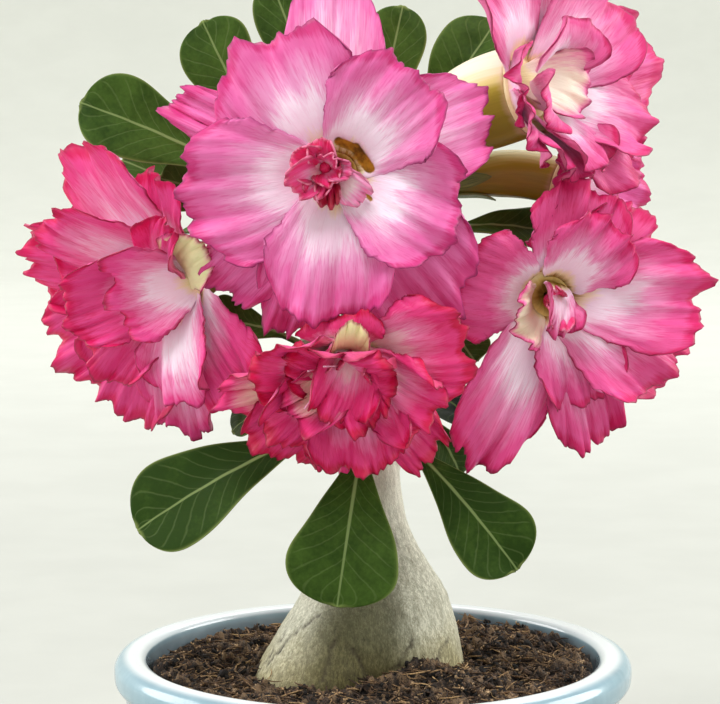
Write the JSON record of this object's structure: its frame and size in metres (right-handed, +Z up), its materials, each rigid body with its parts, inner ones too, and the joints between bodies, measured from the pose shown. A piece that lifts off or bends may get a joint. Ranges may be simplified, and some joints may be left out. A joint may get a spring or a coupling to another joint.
{
  "type": "potted desert rose",
  "caption": "Desert rose with a swollen trunk, frilled double pink blooms and dark obovate leaves, standing in soil in a shallow round pale blue glazed bowl.",
  "frame": {"origin": "centre of the bowl's flat foot face, on the surface it stands on", "axes": "+Z up; the front of the plant, with the large bloom, faces -Y; +X is to the right seen from the front"},
  "size_m": [0.1822, 0.14, 0.2501],
  "materials": {
    "glaze": "smooth glossy pale powder-blue glaze, whiter on the rim",
    "soil": null,
    "bark": "smooth silvery grey-beige bark with fine cracks",
    "petal": null,
    "flower_tube": null,
    "flower_centre": null,
    "leaf": null
  },
  "bodies": {
    "root": {"pot": "glaze", "soil": "soil", "trunk": "bark", "flower_front_petals": "petal", "flower_front_tube": "flower_tube", "flower_front_centre": "flower_centre", "flower_left_petals": "petal", "flower_left_tube": "flower_tube", "flower_low_petals": "petal", "flower_low_tube": "flower_tube", "flower_low_centre": "flower_centre", "flower_right_petals": "petal", "flower_right_tube": "flower_tube", "flower_right_centre": "flower_centre", "flower_upper_petals": "petal", "flower_upper_tube": "flower_tube", "flower_rear_petals": "petal", "flower_rear_tube": "flower_tube", "leaf_upper_left": "leaf", "leaf_top_left": "leaf", "leaf_left": "leaf", "leaf_left_edge": "leaf", "leaf_top_middle": "leaf", "leaf_top": "leaf", "leaf_top_right": "leaf", "leaf_right": "leaf", "leaf_right_low": "leaf", "leaf_left_middle": "leaf", "leaf_low_left_edge": "leaf", "leaf_low_left": "leaf", "leaf_low_front": "leaf", "leaf_low_right": "leaf", "leaf_right_hanging": "leaf", "leaf_back_top": "leaf", "leaf_back_right": "leaf", "leaf_back_left": "leaf", "leaf_back_low_right": "leaf", "leaf_back_low_left": "leaf"}
  },
  "joints": []
}
